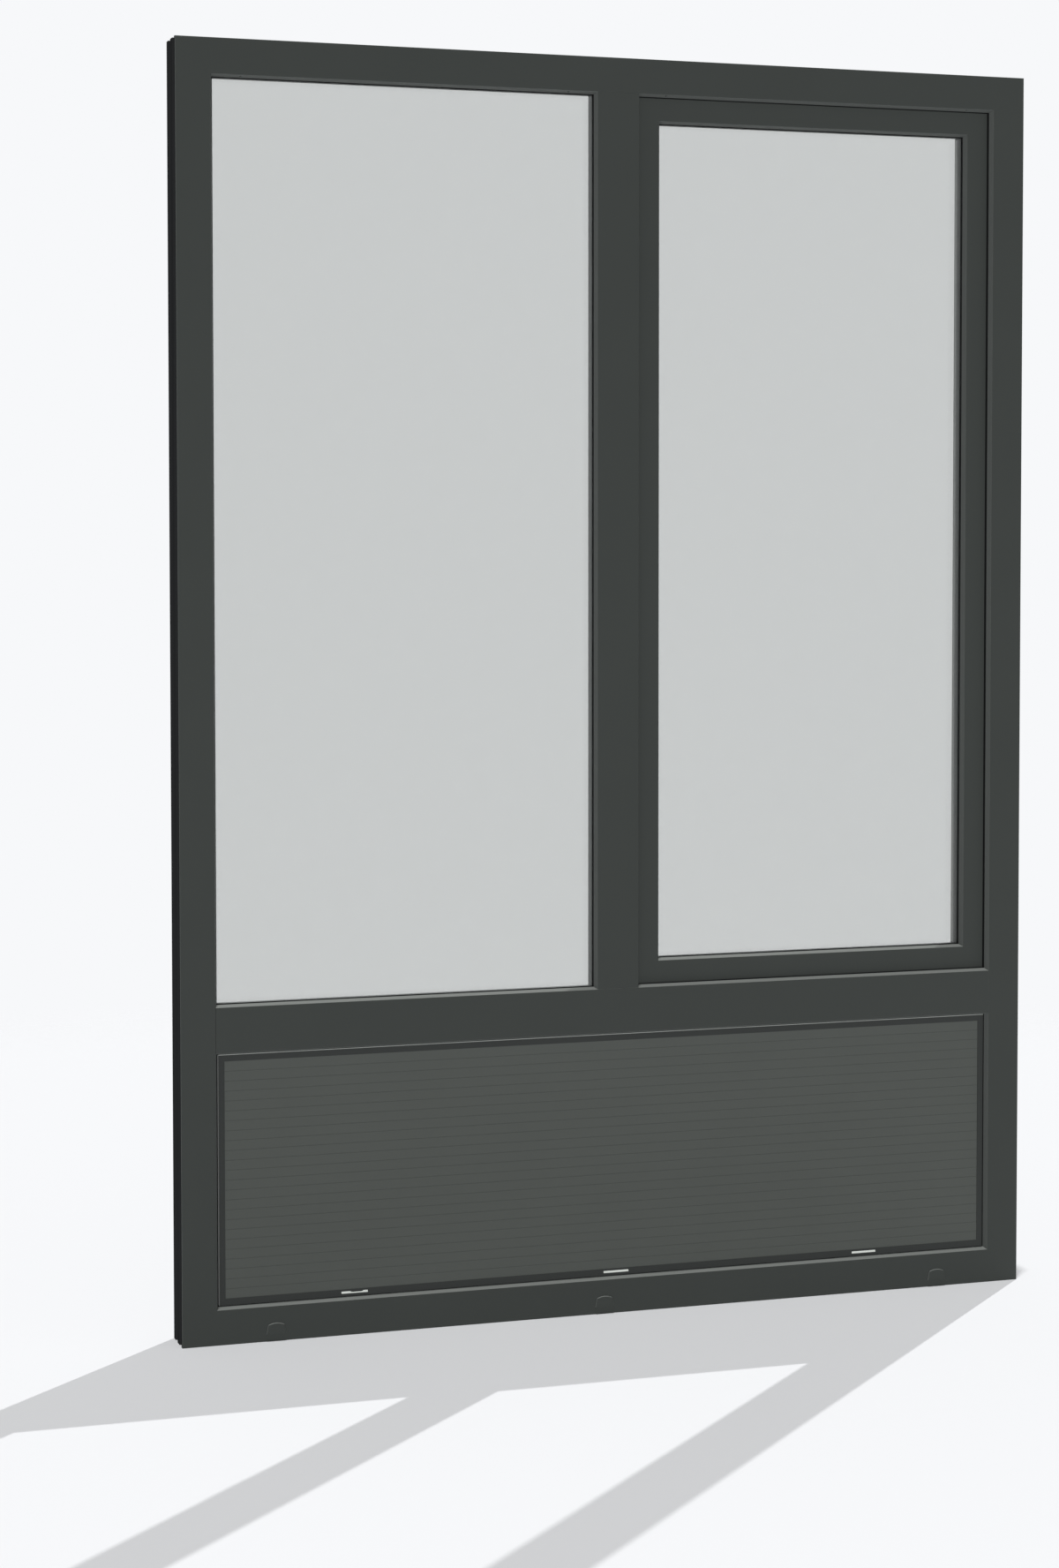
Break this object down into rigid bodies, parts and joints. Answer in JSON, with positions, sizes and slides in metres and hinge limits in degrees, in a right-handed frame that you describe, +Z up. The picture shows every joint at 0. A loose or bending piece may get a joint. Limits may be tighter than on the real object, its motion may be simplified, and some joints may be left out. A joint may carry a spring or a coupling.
{
  "type": "window element with a fixed light, an opening sash and a lower infill panel",
  "caption": "Storey-high window: a fixed light and an inward-opening sash above a transom, a raised grooved panel below, in one dark frame with drain caps.",
  "frame": {"origin": "middle of the frame's bottom face, on its middle land", "axes": "+Z up, the outside face looks along -Y, the room is on the +Y side, +X to the right seen from outside"},
  "size_m": [1.56, 0.1297, 2.2],
  "materials": {
    "anthracite_foil": "foil laminated rigid plastic, satin, anthracite grey",
    "panel_skin": "foil laminated sheet, satin, anthracite grey",
    "seal_rubber": "matt black extruded rubber",
    "clear_glass": "clear float glass",
    "spacer_bar": "grey warm-edge spacer",
    "panel_core": "pale rigid insulation",
    "cap_plastic": "moulded plastic, anthracite grey",
    "handle_metal": "powder coated, anthracite grey"
  },
  "bodies": {
    "root": {"drain_caps": "cap_plastic", "fixed_bottom_bead": "anthracite_foil", "fixed_glass_spacer": "spacer_bar", "fixed_inner_pane": "clear_glass", "fixed_inner_seal": "seal_rubber", "fixed_left_bead": "anthracite_foil", "fixed_outer_pane": "clear_glass", "fixed_outer_seal": "seal_rubber", "fixed_right_bead": "anthracite_foil", "fixed_top_bead": "anthracite_foil", "frame_head": "anthracite_foil", "frame_left_jamb": "anthracite_foil", "frame_right_jamb": "anthracite_foil", "frame_sill": "anthracite_foil", "handle_lever": "handle_metal", "handle_rosette": "handle_metal", "lower_hinge": "handle_metal", "mullion": "anthracite_foil", "panel_bottom_bead": "anthracite_foil", "panel_core": "panel_core", "panel_inner_seal": "seal_rubber", "panel_inner_skin": "panel_skin", "panel_left_bead": "anthracite_foil", "panel_outer_seal": "seal_rubber", "panel_outer_skin": "panel_skin", "panel_right_bead": "anthracite_foil", "panel_top_bead": "anthracite_foil", "sash_bottom_bead": "anthracite_foil", "sash_bottom_rail": "anthracite_foil", "sash_glass_spacer": "spacer_bar", "sash_inner_pane": "clear_glass", "sash_inner_seal": "seal_rubber", "sash_left_bead": "anthracite_foil", "sash_left_stile": "anthracite_foil", "sash_outer_pane": "clear_glass", "sash_outer_seal": "seal_rubber", "sash_overlap_seal": "seal_rubber", "sash_right_bead": "anthracite_foil", "sash_right_stile": "anthracite_foil", "sash_stop_seal": "seal_rubber", "sash_top_bead": "anthracite_foil", "sash_top_rail": "anthracite_foil", "transom": "anthracite_foil", "upper_hinge": "handle_metal"}
  },
  "joints": []
}
